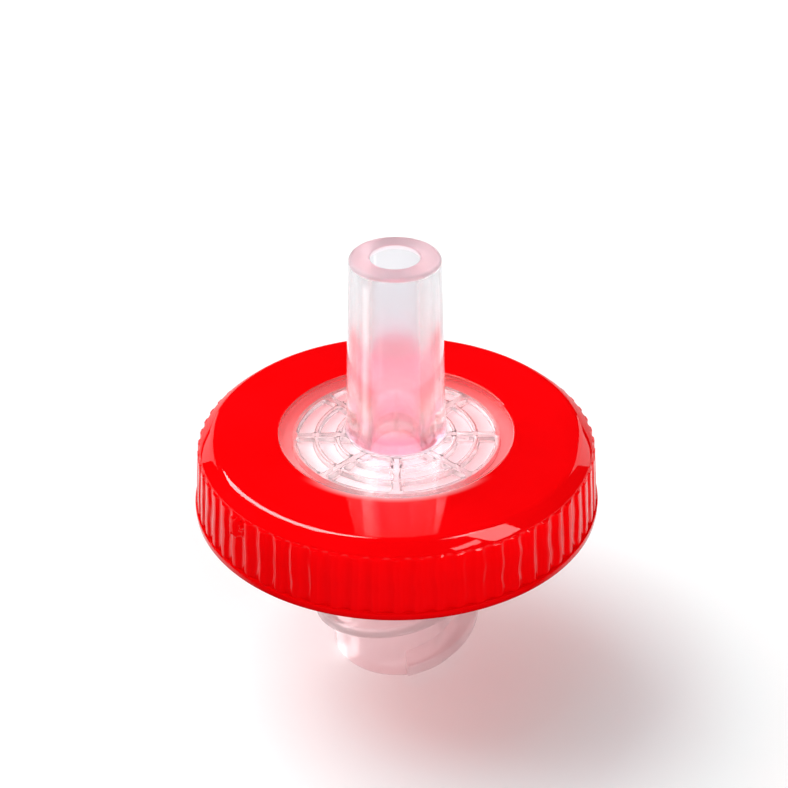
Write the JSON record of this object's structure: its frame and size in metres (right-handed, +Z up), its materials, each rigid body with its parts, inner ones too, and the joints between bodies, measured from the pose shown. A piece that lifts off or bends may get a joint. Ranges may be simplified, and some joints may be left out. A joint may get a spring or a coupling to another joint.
{
  "type": "syringe filter",
  "caption": "Small disc filter for a syringe: clear luer slip outlet tube above, clear luer lock inlet hub below, white membrane inside, red ribbed ring moulded around the rim.",
  "frame": {"origin": "centre of the inlet hub's mouth, where the filter stands", "axes": "+Z up the flow axis, from the inlet socket to the outlet tip"},
  "size_m": [0.0184, 0.0184, 0.0206],
  "materials": {
    "clear_plastic": "clear natural polypropylene, glossy",
    "red_plastic": "glossy moulded polypropylene",
    "membrane": "matt white porous film"
  },
  "bodies": {
    "root": {"inlet_housing": "clear_plastic", "outlet_housing": "clear_plastic", "membrane": "membrane", "overmould_ring": "red_plastic"}
  },
  "joints": []
}
